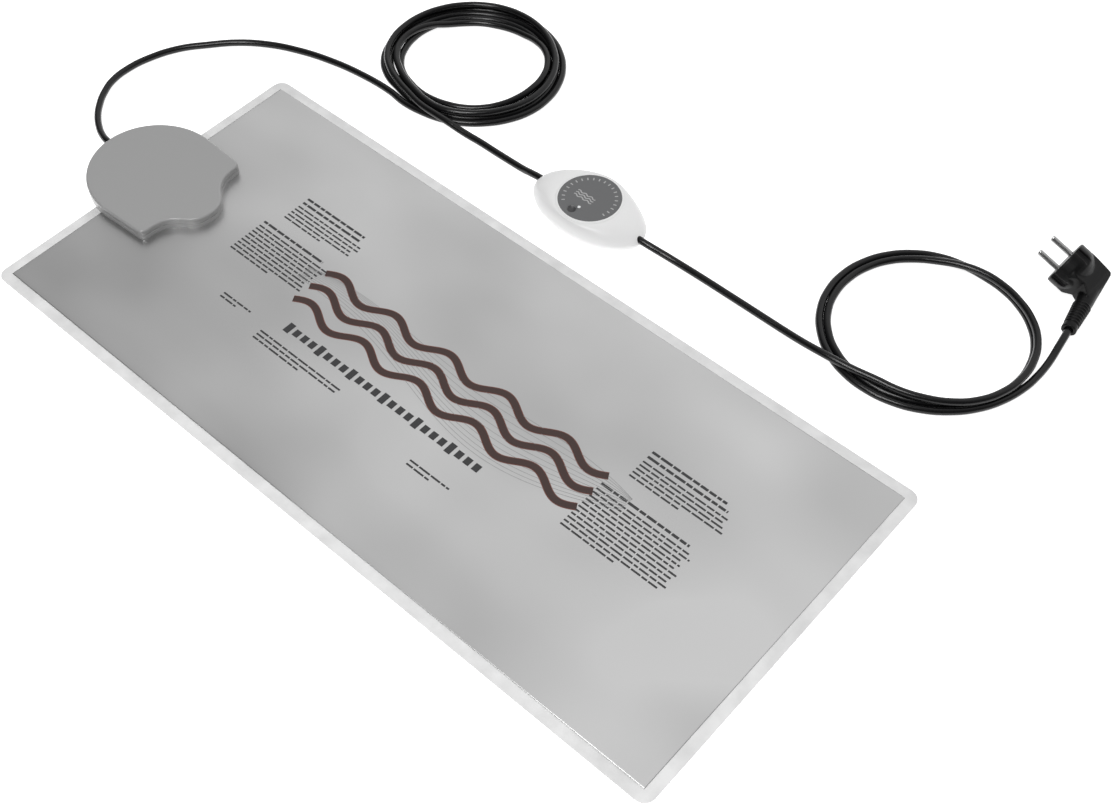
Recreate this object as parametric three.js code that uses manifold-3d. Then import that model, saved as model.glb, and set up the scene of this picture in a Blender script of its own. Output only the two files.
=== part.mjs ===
// Water bed heater: a flat heating pad with its connection housing, control and mains cord.
// Millimetres, +Z up. The origin is the middle of the pad's underside, and the pad's long side runs along X.

import * as THREE from 'three';
import { mergeVertices } from 'three/addons/utils/BufferGeometryUtils.js';
import Module from 'manifold-3d';

const wasm = await Module();
wasm.setup();

// Pad
const filmLength = 660;
const filmWidth = 300;
const filmThickness = 0.8;
const filmCornerRadius = 9;
const filmBorder = 9;
const panelThickness = 0.7;

// Connection housing at the pad's short edge
const housingWidth = 105;
const housingBackWidth = 108;
const housingHeight = 11;
const housingOverhang = 45;
const housingBackDepth = 60;
const housingReach = 85;
const housingTipSetback = 24.5;
const housingTipFlat = 6.5;
const housingLobePull = 25;
const housingHollowPull = 15;
const housingCornerRadius = 6;
const partingHeight = 5.6;
const coverEdgeRadius = 1.8;
const shellEdgeRadius = 0.5;

// Cord
const cordDiameter = 6;
const cordSides = 10;
const cordFloorGap = 0.05;
const socketDepth = 8;
const clearance = 0.3;

// Control
const controlLength = 107;
const controlWidth = 62;
const controlHeight = 20.3;
const controlBelly = 8;
const controlFootInset = 5;
const controlFullness = 0.75;
const cordExitHeight = 8.8;
const controlCentre = new THREE.Vector2(-21, 202.1);
const controlSides = 40;
const dialOffset = 0.5;
const dialRadius = 26.6;
const dialThickness = 3.4;
const dialRecess = 3;
const dialRimWidth = 1.3;
const dialEdgeRadius = 0.5;
const dialClearance = 0.5;
const spindleRadius = 4;
const spindleLength = 6;
const fingerDimpleRadius = 8;
const fingerDimpleDepth = 1.2;
const fingerDimplePlace = new THREE.Vector2(-3.4, -18.2);
const lensRadius = 1.3;
const lensHeight = 1.6;
const lensStandOut = 0.3;
const lensFootRadius = 0.1;
const lensPlace = new THREE.Vector2(0, -13);

// Coils, each an ellipse on the floor: mean radii, long side over short side, and the long side's direction
const firstCoil = { centre: new THREE.Vector2(-216, 271), inner: 56, outer: 78.8, ratio: 1.1, turn: 22 };
const secondCoil = { centre: new THREE.Vector2(249.5, 277), inner: 69.5, outer: 81, ratio: 1.08, turn: 28 };
const coilLayers = 2;
const coilSides = 40;

// Plug
const plugRadius = 18.2;
const plugCupStraight = 8.4;
const plugCupLength = 14;
const plugNeckIn = 21;
const plugRimRound = 0.8;
const plugBackDepth = 37;
const plugBackCorner = 6;
const plugBackSlope = 4;
const plugBlockStart = 10;
const plugBlockStartHeight = 26;
const plugBlockTop = 18;
const plugTilt = THREE.MathUtils.degToRad(19);
const plugCentre = new THREE.Vector2(296, 387.9);
const plugBlockHigh = 18.5;
const plugBlockLow = 16.5;
const plugBlockShoulder = 11.5;
const reliefDepth = 28.7;
const reliefLean = THREE.MathUtils.degToRad(9.2);
const reliefRootRadius = 6.9;
const reliefTipRadius = 5.5;
const reliefLength = 48;
const collarRadius = 5.9;
const collarLength = 4.5;
const pinDiameter = 4.8;
const pinLength = 19;
const pinSpacing = 19;
const pinSeat = 6;
const pinTipRound = 1.2;
const notchWidth = 5.5;
const notchDepth = 2.6;
const notchLength = 13;

const cordRadius = cordDiameter / 2;
const cordHeight = cordRadius + cordFloorGap;
const panelTop = filmThickness + panelThickness;
const filmEndX = -filmLength / 2;

// Materials
function material(color, roughness, metalness = 0) {
  return new THREE.MeshStandardMaterial({ color, roughness, metalness });
}

const frostedFilm = material(0xe4e6e6, 0.55);
const silverFoil = material(0xa3a4a6, 0.38, 0.75);
const greyPlastic = material(0x8d8f91, 0.42);
const blackCord = material(0x17181a, 0.3);
const whitePlastic = material(0xeeeeee, 0.25);
const dialPlastic = material(0x55575a, 0.4);
const lensPlastic = material(0xd8dcdc, 0.15);
const plugRubber = material(0x141416, 0.45);
const nickel = material(0x9a9a9c, 0.3, 0.9);

const heater = new THREE.Group();

function addMesh(parent, name, geometry, surface) {
  const mesh = new THREE.Mesh(geometry, surface);
  mesh.name = name;
  parent.add(mesh);
  return mesh;
}

// Solids for joins and cuts
function solidOf(geometry) {
  const plain = geometry.clone();
  plain.deleteAttribute('normal');
  plain.deleteAttribute('uv');
  const merged = mergeVertices(plain, 1e-4);
  const vertProperties = new Float32Array(merged.attributes.position.array);
  const triVerts = new Uint32Array(merged.index.array);
  return new wasm.Manifold(new wasm.Mesh({ numProp: 3, vertProperties, triVerts }));
}

function geometryOf(solid) {
  const { vertProperties, triVerts } = solid.getMesh();
  const geometry = new THREE.BufferGeometry();
  geometry.setAttribute('position', new THREE.BufferAttribute(new Float32Array(vertProperties), 3));
  geometry.setIndex(new THREE.BufferAttribute(new Uint32Array(triVerts), 1));
  geometry.computeVertexNormals();
  return geometry;
}

// A plan outline moved inwards by one distance, along the mean normal at each point
function insetOutline(outline, distance) {
  const count = outline.length;
  return outline.map((point, index) => {
    const before = outline[(index + count - 1) % count];
    const after = outline[(index + 1) % count];
    const first = point.clone().sub(before).normalize();
    const second = after.clone().sub(point).normalize();
    const normal = new THREE.Vector2(-first.y - second.y, first.x + second.x).normalize();
    const spread = normal.dot(new THREE.Vector2(-second.y, second.x));
    return point.clone().addScaledVector(normal, distance / spread);
  });
}

// A closed solid from level rings of as many points each, counterclockwise, from its bottom to its top
function loft(rings) {
  const count = rings[0].length;
  const positions = rings.flat().flatMap((point) => point.toArray());
  const indices = [];
  for (let level = 0; level < rings.length - 1; level += 1) {
    for (let side = 0; side < count; side += 1) {
      const next = (side + 1) % count;
      const low = level * count;
      const high = low + count;
      indices.push(low + side, low + next, high + next);
      indices.push(low + side, high + next, high + side);
    }
  }
  const topStart = (rings.length - 1) * count;
  for (const [a, b, c] of THREE.ShapeUtils.triangulateShape(rings[0], [])) {
    indices.push(a, c, b);
  }
  for (const [a, b, c] of THREE.ShapeUtils.triangulateShape(rings[rings.length - 1], [])) {
    indices.push(topStart + a, topStart + b, topStart + c);
  }
  const geometry = new THREE.BufferGeometry();
  geometry.setAttribute('position', new THREE.Float32BufferAttribute(positions, 3));
  geometry.setIndex(indices);
  geometry.computeVertexNormals();
  return geometry;
}

// A slab whose sides follow an outline, with [height, inset] levels from its bottom to its top
function slab(outline, levels) {
  return loft(levels.map(([height, inset]) => (
    insetOutline(outline, inset).map((point) => new THREE.Vector3(point.x, point.y, height))
  )));
}

// Levels of a slab with quarter-round edges
function roundedLevels(bottom, top, bottomRadius, topRadius, steps = 2) {
  const levels = [];
  for (let step = steps; step >= 0; step -= 1) {
    const angle = (step / steps) * Math.PI / 2;
    levels.push([bottom + bottomRadius * (1 - Math.sin(angle)), bottomRadius * (1 - Math.cos(angle))]);
  }
  for (let step = 0; step <= steps; step += 1) {
    const angle = (step / steps) * Math.PI / 2;
    levels.push([top - topRadius * (1 - Math.sin(angle)), topRadius * (1 - Math.cos(angle))]);
  }
  return levels;
}

// Pad
function roundedRectangle(length, width, radius) {
  const x = length / 2;
  const y = width / 2;
  const shape = new THREE.Shape();
  shape.moveTo(-x + radius, -y);
  shape.lineTo(x - radius, -y);
  shape.absarc(x - radius, -y + radius, radius, -Math.PI / 2, 0);
  shape.lineTo(x, y - radius);
  shape.absarc(x - radius, y - radius, radius, 0, Math.PI / 2);
  shape.lineTo(-x + radius, y);
  shape.absarc(-x + radius, y - radius, radius, Math.PI / 2, Math.PI);
  shape.lineTo(-x, -y + radius);
  shape.absarc(-x + radius, -y + radius, radius, Math.PI, Math.PI * 1.5);
  return shape;
}

function makePad() {
  const filmShape = roundedRectangle(filmLength, filmWidth, filmCornerRadius);
  const filmOptions = { depth: filmThickness, bevelEnabled: false, curveSegments: 3 };
  const film = new THREE.ExtrudeGeometry(filmShape, filmOptions);
  const panelLength = filmLength - 2 * filmBorder;
  const panelWidth = filmWidth - 2 * filmBorder;
  const panel = new THREE.BoxGeometry(panelLength, panelWidth, panelThickness);
  panel.translate(0, 0, filmThickness + panelThickness / 2);
  addMesh(heater, 'carrier_film', film, frostedFilm);
  addMesh(heater, 'heating_panel', panel, silverFoil);
}

// Housing outline: a half-ellipse back, straight sides, two front tips and a round lobe between two hollows
function housingOutline() {
  const halfWidth = housingWidth / 2;
  const halfBack = housingBackWidth / 2;
  const backX = filmEndX - housingOverhang;
  const centreX = backX + housingBackDepth;
  const lobeX = filmEndX + housingReach;
  const tipX = lobeX - housingTipSetback;
  const tipY = halfWidth - housingTipFlat;
  const shape = new THREE.Shape();
  shape.moveTo(lobeX, 0);
  shape.bezierCurveTo(lobeX, housingLobePull, tipX, housingHollowPull, tipX, tipY);
  shape.absarc(tipX - housingCornerRadius, tipY, housingCornerRadius, 0, Math.PI / 2);
  shape.lineTo(centreX, halfBack);
  shape.absellipse(centreX, 0, housingBackDepth, halfBack, Math.PI / 2, Math.PI * 1.5);
  shape.lineTo(tipX - housingCornerRadius, -tipY - housingCornerRadius);
  shape.absarc(tipX - housingCornerRadius, -tipY, housingCornerRadius, -Math.PI / 2, 0);
  shape.bezierCurveTo(tipX, -housingHollowPull, lobeX, -housingLobePull, lobeX, 0);
  const points = shape.getPoints(8);
  return points.filter((point, index) => point.distanceTo(points[(index + 1) % points.length]) > 0.01);
}

function cylinderAlongX(radius, length, sides = 16) {
  const geometry = new THREE.CylinderGeometry(radius, radius, length, sides);
  geometry.rotateZ(Math.PI / 2);
  return geometry;
}

function makeHousing() {
  const outline = housingOutline();
  const backX = filmEndX - housingOverhang;
  const base = solidOf(slab(outline, roundedLevels(0, partingHeight, shellEdgeRadius, shellEdgeRadius)));
  const coverLevels = roundedLevels(partingHeight, housingHeight, shellEdgeRadius, coverEdgeRadius);
  const cover = solidOf(slab(outline, coverLevels));
  const filmRoom = new THREE.BoxGeometry(filmLength, filmWidth, filmThickness + clearance);
  filmRoom.translate(-clearance, 0, (filmThickness + clearance) / 2);
  const panelRoomLength = filmLength - 2 * filmBorder + 2 * clearance;
  const panelRoom = new THREE.BoxGeometry(panelRoomLength, filmWidth, panelTop + clearance);
  panelRoom.translate(0, 0, (panelTop + clearance) / 2);
  const socket = cylinderAlongX(cordRadius + clearance, 2 * socketDepth);
  socket.translate(backX, 0, partingHeight);
  const socketSolid = solidOf(socket);
  const seatedBase = base.subtract(solidOf(filmRoom)).subtract(solidOf(panelRoom)).subtract(socketSolid);
  addMesh(heater, 'housing_base', geometryOf(seatedBase), greyPlastic);
  addMesh(heater, 'housing_cover', geometryOf(cover.subtract(socketSolid)), greyPlastic);
}

// Cord tubes follow a smooth curve through points chosen by hand
function cordTube(points, steps) {
  const route = new THREE.CatmullRomCurve3(points, false, 'centripetal');
  const section = new THREE.Shape();
  section.absarc(0, 0, cordRadius, 0, Math.PI * 2);
  const options = { steps, bevelEnabled: false, extrudePath: route, curveSegments: cordSides / 2 };
  return new THREE.ExtrudeGeometry(section, options);
}

// Coils: rings with a round foot as of the lowest turn, and wider shoulders over the turns on top of it
function coilRing(coil, grow = 0) {
  const low = cordFloorGap - grow;
  const high = cordFloorGap + coilLayers * cordDiameter + grow;
  const near = coil.inner - grow;
  const far = coil.outer + grow;
  const foot = cordRadius;
  const shoulder = cordDiameter;
  const profile = new THREE.Shape();
  profile.moveTo(near + foot, low);
  profile.lineTo(far - foot, low);
  profile.absarc(far - foot, low + foot, foot, -Math.PI / 2, 0);
  profile.absarc(far - shoulder, high - shoulder, shoulder, 0, Math.PI / 2);
  profile.absarc(near + shoulder, high - shoulder, shoulder, Math.PI / 2, Math.PI);
  profile.absarc(near + foot, low + foot, foot, Math.PI, Math.PI * 1.5);
  const points = profile.getPoints(2);
  const ring = new THREE.LatheGeometry([...points, points[0].clone()], coilSides);
  const stretch = Math.sqrt(coil.ratio);
  ring.rotateX(Math.PI / 2);
  ring.scale(stretch, 1 / stretch, 1);
  ring.rotateZ(THREE.MathUtils.degToRad(coil.turn));
  ring.translate(coil.centre.x, coil.centre.y, 0);
  return ring;
}

// The stretches of cord that lie free, each from the piece that it comes out of
function cutBy(geometry, ...cutters) {
  let solid = solidOf(geometry);
  for (const cutter of cutters) {
    solid = solid.subtract(cutter);
  }
  return geometryOf(solid);
}

function routePoint(x, y, height = cordHeight) {
  return new THREE.Vector3(x, y, height);
}

function makeCords() {
  const firstRoom = solidOf(coilRing(firstCoil, clearance));
  const secondRoom = solidOf(coilRing(secondCoil, clearance));
  addMesh(heater, 'heater_cord_coil', coilRing(firstCoil), blackCord);
  addMesh(heater, 'mains_cord_loop', coilRing(secondCoil), blackCord);

  const housingBack = filmEndX - housingOverhang;
  const housingLead = cordTube([
    routePoint(housingBack + socketDepth - clearance, 0, partingHeight),
    routePoint(housingBack - 6, 0.2, 5.2),
    routePoint(-391, 2.8, 3.9),
    routePoint(-399.5, 6.5, 3.2),
    routePoint(-412, 14.5),
    routePoint(-423, 25),
    routePoint(-432, 37),
    routePoint(-439, 52),
    routePoint(-441, 71),
    routePoint(-438, 91),
    routePoint(-428, 116),
    routePoint(-412, 137),
    routePoint(-394, 156.5),
    routePoint(-371.5, 172.5),
    routePoint(-345, 184.5),
    routePoint(-316, 193),
    routePoint(-283, 198.5),
    routePoint(-246, 202.5),
  ], 26);
  addMesh(heater, 'housing_lead', cutBy(housingLead, firstRoom), blackCord);

  const controlStart = controlCentre.x - controlLength / 2;
  const controlEnd = controlCentre.x + controlLength / 2;
  const controlLead = cordTube([
    routePoint(-204, 204, 7.5),
    routePoint(-190.4, 201.3, 9),
    routePoint(-178, 200.9, 8.3),
    routePoint(-167, 201.9, 6.2),
    routePoint(-156, 203.2, 4.4),
    routePoint(-145, 204.4, 3.4),
    routePoint(-125, 204.5, 3.1),
    routePoint(-106, 204.5, 3.2),
    routePoint(-94, 203.9, 4.3),
    routePoint(controlStart - 10, 202.6, 7.1),
    routePoint(controlStart, controlCentre.y, cordExitHeight),
    routePoint(controlStart + socketDepth - clearance, controlCentre.y, cordExitHeight),
  ], 14);
  addMesh(heater, 'control_lead', cutBy(controlLead, firstRoom), blackCord);

  const mainsLead = cordTube([
    routePoint(controlEnd - socketDepth + clearance, controlCentre.y, cordExitHeight),
    routePoint(controlEnd, controlCentre.y, cordExitHeight),
    routePoint(controlEnd + 10, 203.4, 7.3),
    routePoint(54, 205.6, 4.8),
    routePoint(66, 206.9, 3.3),
    routePoint(88, 207.2),
    routePoint(118, 206.9),
    routePoint(147, 206.5),
    routePoint(168, 206.2),
    routePoint(181, 205.3, 4.3),
    routePoint(193, 203.9, 6.6),
    routePoint(204.5, 203, 8.7),
    routePoint(217.6, 203.3, 9.05),
    routePoint(230, 206, 7.5),
  ], 20);
  addMesh(heater, 'mains_lead', cutBy(mainsLead, secondRoom), blackCord);
}

// Control: an egg-shaped body with a round dial sunk in its top
function ellipseRing(halfLength, halfWidth, height) {
  const ring = [];
  for (let side = 0; side < controlSides; side += 1) {
    const angle = (side / controlSides) * Math.PI * 2;
    ring.push(new THREE.Vector3(halfLength * Math.cos(angle), halfWidth * Math.sin(angle), height));
  }
  return ring;
}

function controlEgg() {
  const halfLength = controlLength / 2;
  const halfWidth = controlWidth / 2;
  const rimRadius = dialRadius + dialClearance + dialRimWidth;
  const rings = [];
  const underSteps = 2;
  const domeSteps = 5;
  for (let step = 0; step < underSteps; step += 1) {
    const angle = (1 - step / underSteps) * Math.PI / 2;
    const inset = controlFootInset * (1 - Math.cos(angle));
    rings.push(ellipseRing(halfLength - inset, halfWidth - inset, controlBelly * (1 - Math.sin(angle))));
  }
  for (let step = 0; step <= domeSteps; step += 1) {
    const spread = Math.cos((step / domeSteps) * Math.PI / 2);
    const rise = (controlHeight - controlBelly) * (1 - spread * spread) ** controlFullness;
    const length = rimRadius + (halfLength - rimRadius) * spread;
    const width = rimRadius + (halfWidth - rimRadius) * spread;
    const ring = ellipseRing(length, width, controlBelly + rise);
    const shift = dialOffset * (1 - spread);
    rings.push(ring.map((point) => point.setX(point.x + shift)));
  }
  return loft(rings);
}

function uprightCylinder(radius, bottom, top, sides = 48) {
  const geometry = new THREE.CylinderGeometry(radius, radius, top - bottom, sides);
  geometry.rotateX(Math.PI / 2);
  geometry.translate(0, 0, (bottom + top) / 2);
  return geometry;
}

function circleOutline(radius, sides) {
  const points = [];
  for (let side = 0; side < sides; side += 1) {
    const angle = (side / sides) * Math.PI * 2;
    points.push(new THREE.Vector2(radius * Math.cos(angle), radius * Math.sin(angle)));
  }
  return points;
}

function makeControl() {
  const control = new THREE.Group();
  control.position.set(controlCentre.x, controlCentre.y, 0);
  heater.add(control);
  const recessFloor = controlHeight - dialRecess;
  const dialBottom = recessFloor + clearance;
  const dialTop = dialBottom + dialThickness;

  const recess = uprightCylinder(dialRadius + dialClearance, recessFloor, controlHeight + dialThickness, 48);
  const boreFloor = recessFloor - spindleLength - clearance;
  const bore = uprightCylinder(spindleRadius + clearance, boreFloor, controlHeight, 24);
  recess.translate(dialOffset, 0, 0);
  bore.translate(dialOffset, 0, 0);
  const cutters = [solidOf(recess), solidOf(bore)];
  for (const end of [-1, 1]) {
    const socket = cylinderAlongX(cordRadius + clearance, 2 * socketDepth);
    socket.translate(end * controlLength / 2, 0, cordExitHeight);
    cutters.push(solidOf(socket));
  }
  addMesh(control, 'control_body', cutBy(controlEgg(), ...cutters), whitePlastic);

  const dialGroup = new THREE.Group();
  dialGroup.position.set(dialOffset, 0, 0);
  control.add(dialGroup);
  const discLevels = roundedLevels(dialBottom, dialTop, dialEdgeRadius, dialEdgeRadius);
  const disc = slab(circleOutline(dialRadius, 48), discLevels);
  const spindleTop = dialBottom + dialThickness / 2;
  const spindle = uprightCylinder(spindleRadius, recessFloor - spindleLength, spindleTop, 24);
  const ball = new THREE.SphereGeometry(fingerDimpleRadius, 24, 18);
  ball.translate(fingerDimplePlace.x, fingerDimplePlace.y, dialTop + fingerDimpleRadius - fingerDimpleDepth);
  const lensSeat = dialTop - lensHeight + lensStandOut;
  const lensRoom = uprightCylinder(lensRadius + clearance, lensSeat - clearance, dialTop + lensHeight, 16);
  lensRoom.translate(lensPlace.x, lensPlace.y, 0);
  const dialSolid = solidOf(disc).add(solidOf(spindle)).subtract(solidOf(ball)).subtract(solidOf(lensRoom));
  addMesh(dialGroup, 'control_dial', geometryOf(dialSolid), dialPlastic);
  const lensLevels = roundedLevels(lensSeat, lensSeat + lensHeight, lensFootRadius, lensStandOut);
  const lens = slab(circleOutline(lensRadius, 16), lensLevels);
  lens.translate(lensPlace.x, lensPlace.y, 0);
  addMesh(dialGroup, 'indicator_lens', lens, lensPlastic);
}

// Plug: a round cup with its two pins, and behind it a rounded block that the strain relief leaves sideways.
// In the plug's own group the pins point along -X and the strain relief leaves along -Y.
function plugCupProfile() {
  const profile = new THREE.Shape();
  profile.moveTo(0, 0);
  profile.lineTo(plugRadius - plugRimRound, 0);
  profile.lineTo(plugRadius, plugRimRound);
  profile.lineTo(plugRadius, plugCupStraight);
  profile.quadraticCurveTo(plugRadius, plugCupLength, plugBlockHigh / 2, plugNeckIn);
  profile.lineTo(0, plugNeckIn);
  return profile.getPoints(4);
}

// Height of the tilted plug's axis at its face, with the cup's lowest edge on the floor
function plugHeight() {
  const depths = plugCupProfile().map((point) => (
    point.x * Math.cos(plugTilt) + point.y * Math.sin(plugTilt)
  ));
  return Math.max(...depths) + cordFloorGap;
}

function plugBlock() {
  const plan = new THREE.Shape();
  const corner = plugBackCorner;
  const back = plugBackDepth;
  plan.moveTo(plugBlockStart, -plugBlockLow);
  plan.lineTo(reliefDepth - reliefRootRadius, -plugBlockShoulder);
  plan.lineTo(reliefDepth, -plugBlockLow);
  plan.lineTo(back - corner, -plugBlockLow);
  plan.lineTo(back, -plugBlockLow + corner);
  plan.lineTo(back - plugBackSlope, plugBlockTop - corner);
  plan.quadraticCurveTo(back - plugBackSlope, plugBlockTop, back - plugBackSlope - corner, plugBlockTop);
  plan.lineTo(plugBlockStart, plugBlockTop);
  const plateOptions = { depth: 2 * plugRadius, bevelEnabled: false, curveSegments: 4 };
  const plate = new THREE.ExtrudeGeometry(plan, plateOptions);
  plate.translate(0, 0, -plugRadius);
  const side = new THREE.Shape();
  side.moveTo(plugBlockStart, -plugBlockStartHeight / 2);
  side.lineTo(reliefDepth - reliefRootRadius, -plugBlockHigh / 2);
  side.quadraticCurveTo(back, -reliefRootRadius, back, 0);
  side.quadraticCurveTo(back, reliefRootRadius, reliefDepth - reliefRootRadius, plugBlockHigh / 2);
  side.lineTo(plugBlockStart, plugBlockStartHeight / 2);
  const depth = plugBlockLow + plugBlockTop + 2 * clearance;
  const wedge = new THREE.ExtrudeGeometry(side, { depth, bevelEnabled: false, curveSegments: 4 });
  wedge.rotateX(Math.PI / 2);
  wedge.translate(0, plugBlockTop + clearance, 0);
  const round = cylinderAlongX(plugRadius, 2 * plugBackDepth + 2 * clearance, 40);
  return solidOf(plate).intersect(solidOf(wedge)).intersect(solidOf(round));
}

function strainRelief() {
  const profile = [
    new THREE.Vector2(0, 0),
    new THREE.Vector2(reliefRootRadius, 0),
    new THREE.Vector2(reliefRootRadius, plugBlockLow),
    new THREE.Vector2(reliefTipRadius, reliefLength - collarLength),
    new THREE.Vector2(collarRadius, reliefLength - collarLength),
    new THREE.Vector2(collarRadius, reliefLength),
    new THREE.Vector2(0, reliefLength),
  ];
  const relief = new THREE.LatheGeometry(profile, 20);
  relief.rotateZ(Math.PI);
  relief.rotateZ(reliefLean);
  relief.translate(reliefDepth, 0, 0);
  return relief;
}

function alongRelief(distance) {
  return new THREE.Vector3(
    reliefDepth + distance * Math.sin(reliefLean),
    -distance * Math.cos(reliefLean),
    0,
  );
}

function makePlug() {
  const plug = new THREE.Group();
  plug.position.set(plugCentre.x, plugCentre.y, plugHeight());
  plug.rotation.y = plugTilt;
  heater.add(plug);
  const cup = new THREE.LatheGeometry(plugCupProfile(), 40);
  cup.rotateZ(-Math.PI / 2);
  let body = solidOf(cup).add(plugBlock()).add(solidOf(strainRelief()));
  for (const side of [-1, 1]) {
    const bore = cylinderAlongX(pinDiameter / 2 + clearance, 2 * pinSeat);
    bore.translate(0, side * pinSpacing / 2, 0);
    const clipSlot = new THREE.BoxGeometry(2 * notchLength, notchWidth, 2 * notchDepth);
    clipSlot.translate(0, 0, side * plugRadius);
    const guideNotch = new THREE.BoxGeometry(2 * notchLength, 2 * notchDepth, notchWidth);
    guideNotch.translate(0, side * plugRadius, 0);
    body = body.subtract(solidOf(bore)).subtract(solidOf(clipSlot)).subtract(solidOf(guideNotch));
  }
  const socketRadius = cordRadius + clearance;
  const socket = new THREE.CylinderGeometry(socketRadius, socketRadius, 2 * socketDepth, 16);
  socket.rotateZ(reliefLean);
  const mouth = alongRelief(reliefLength);
  socket.translate(mouth.x, mouth.y, mouth.z);
  addMesh(plug, 'plug_body', geometryOf(body.subtract(solidOf(socket))), plugRubber);

  const pinRadius = pinDiameter / 2;
  const pinEnd = pinLength + pinSeat - clearance;
  for (const [name, side] of [['plug_pin_lower', -1], ['plug_pin_upper', 1]]) {
    const outline = new THREE.Shape();
    outline.moveTo(0, 0);
    outline.lineTo(pinRadius, 0);
    outline.absarc(pinRadius - pinTipRound, pinEnd - pinTipRound, pinTipRound, 0, Math.PI / 2);
    outline.lineTo(0, pinEnd);
    const profile = outline.getPoints(2);
    const pin = new THREE.LatheGeometry(profile, 16);
    pin.rotateZ(Math.PI / 2);
    pin.translate(pinSeat - clearance, side * pinSpacing / 2, 0);
    addMesh(plug, name, pin, nickel);
  }
  return plug;
}

// The last stretch of cord, from the second coil into the plug's strain relief
function makePlugLead(plug) {
  plug.updateMatrixWorld(true);
  const inside = plug.localToWorld(alongRelief(reliefLength - socketDepth + clearance));
  const mouth = plug.localToWorld(alongRelief(reliefLength));
  const outside = plug.localToWorld(alongRelief(reliefLength + cordDiameter));
  const secondRoom = solidOf(coilRing(secondCoil, clearance));
  const lead = cordTube([
    inside,
    mouth,
    outside,
    routePoint(332.6, 324, 6.4),
    routePoint(333.9, 313, 4.2),
    routePoint(334.6, 302, 3.2),
    routePoint(334.5, 291),
    routePoint(333.4, 279),
    routePoint(330.6, 266.5),
    routePoint(321, 252),
  ], 12);
  addMesh(heater, 'plug_lead', cutBy(lead, secondRoom), blackCord);
}

makePad();
makeHousing();
makeControl();
makeCords();
makePlugLead(makePlug());

export default heater;
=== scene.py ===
"""Water bed heater: looks of the foil pad, housing, coiled cord, dial control and plug, in metres."""
import math

import bpy
from mathutils import Matrix, Vector, noise


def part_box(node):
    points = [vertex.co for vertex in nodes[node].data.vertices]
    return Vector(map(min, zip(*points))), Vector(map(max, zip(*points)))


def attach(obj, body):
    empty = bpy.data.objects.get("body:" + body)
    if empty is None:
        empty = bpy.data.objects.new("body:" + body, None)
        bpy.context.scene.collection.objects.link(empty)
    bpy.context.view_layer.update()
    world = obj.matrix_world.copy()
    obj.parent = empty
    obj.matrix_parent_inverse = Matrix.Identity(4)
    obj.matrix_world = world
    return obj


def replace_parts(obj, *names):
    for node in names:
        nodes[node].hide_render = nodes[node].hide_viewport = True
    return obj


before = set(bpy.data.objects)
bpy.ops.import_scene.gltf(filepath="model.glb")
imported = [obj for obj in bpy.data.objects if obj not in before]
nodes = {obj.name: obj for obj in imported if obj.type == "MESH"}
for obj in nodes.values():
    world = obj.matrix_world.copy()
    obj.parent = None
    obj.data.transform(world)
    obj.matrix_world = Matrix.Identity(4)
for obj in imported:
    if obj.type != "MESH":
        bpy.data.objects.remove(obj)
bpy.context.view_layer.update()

# Camera, at the photograph's viewing angle
CAMERA_PLACE = (0.53704, -0.44503, 0.88622)
CAMERA_RIGHT = (0.74697568, 0.66469975, -0.0142409)
CAMERA_UP = (-0.52446658, 0.60227719, 0.6018292)
CAMERA_BACK = (0.40861268, -0.44208193, 0.79849922)
CAMERA_LENS = 49.2
SENSOR_WIDTH = 36.0
CLIP_START = 0.01
CLIP_END = 1000

# Cord
MILLIMETRES_IN_METRE = 1000
CORD_DIAMETER = 0.006
CORD_RADIUS = CORD_DIAMETER / 2
CORD_HEIGHT = 0.00305
CORD_SMOOTHNESS = 5
COIL_STEP = 15

# Housing
HOUSING_WIDTH = 0.105
HOUSING_BACK_WIDTH = 0.108
HOUSING_BACK_DEPTH = 0.06
HOUSING_LENGTH = 0.13
HOUSING_TIP_SETBACK = 0.0245
HOUSING_TIP_FLAT = 0.0065
HOUSING_LOBE_PULL = 0.025
HOUSING_HOLLOW_PULL = 0.015
HOUSING_CORNER_RADIUS = 0.006
HOLLOW_STEPS = 20
CORNER_STEPS = 8
BACK_STEPS = 40
EDGE_STEPS = 5
COVER_EDGE = 0.0018
PARTING_EDGE = 0.0008
SHELL_EDGE = 0.0005

# Control and dial
CONTROL_CENTRE = Vector((-0.021, 0.2021, 0))
CONTROL_LENGTH = 0.107
CONTROL_WIDTH = 0.062
CONTROL_HEIGHT = 0.0203
CONTROL_BELLY = 0.008
CONTROL_FOOT_INSET = 0.005
CONTROL_FULLNESS = 0.75
CONTROL_SIDES = 96
CONTROL_FOOT_STEPS = 8
CONTROL_DOME_STEPS = 24
RECESS_EDGE = 0.0003
DIAL_OFFSET = 0.0005
DIAL_RADIUS = 0.0266
DIAL_GAP = 0.0005
DIAL_RIM_WIDTH = 0.0013
DIAL_RECESS = 0.003
DIAL_EDGE_RADIUS = 0.0005
DIAL_CLEARANCE = 0.0003
DIAL_SIDES = 128
DIAL_RINGS = 48
DIAL_EDGE_STEPS = 4
TRIM_INNER_RADIUS = 0.0257
TRIM_OUTER_RADIUS = 0.0277
TRIM_LIFT = 0.00005
TRIM_STEPS = 6
FINGER_DIMPLE = Vector((-0.0034, -0.0182))
FINGER_DIMPLE_RADIUS = 0.0042
FINGER_DIMPLE_DEPTH = 0.002
# Share of the finger dimple's radius coloured darker, as painted shade in its hollow
DIMPLE_PAINTED_SHADE_SHARE = 0.85
SAME_HEIGHT = 0.00001

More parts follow.
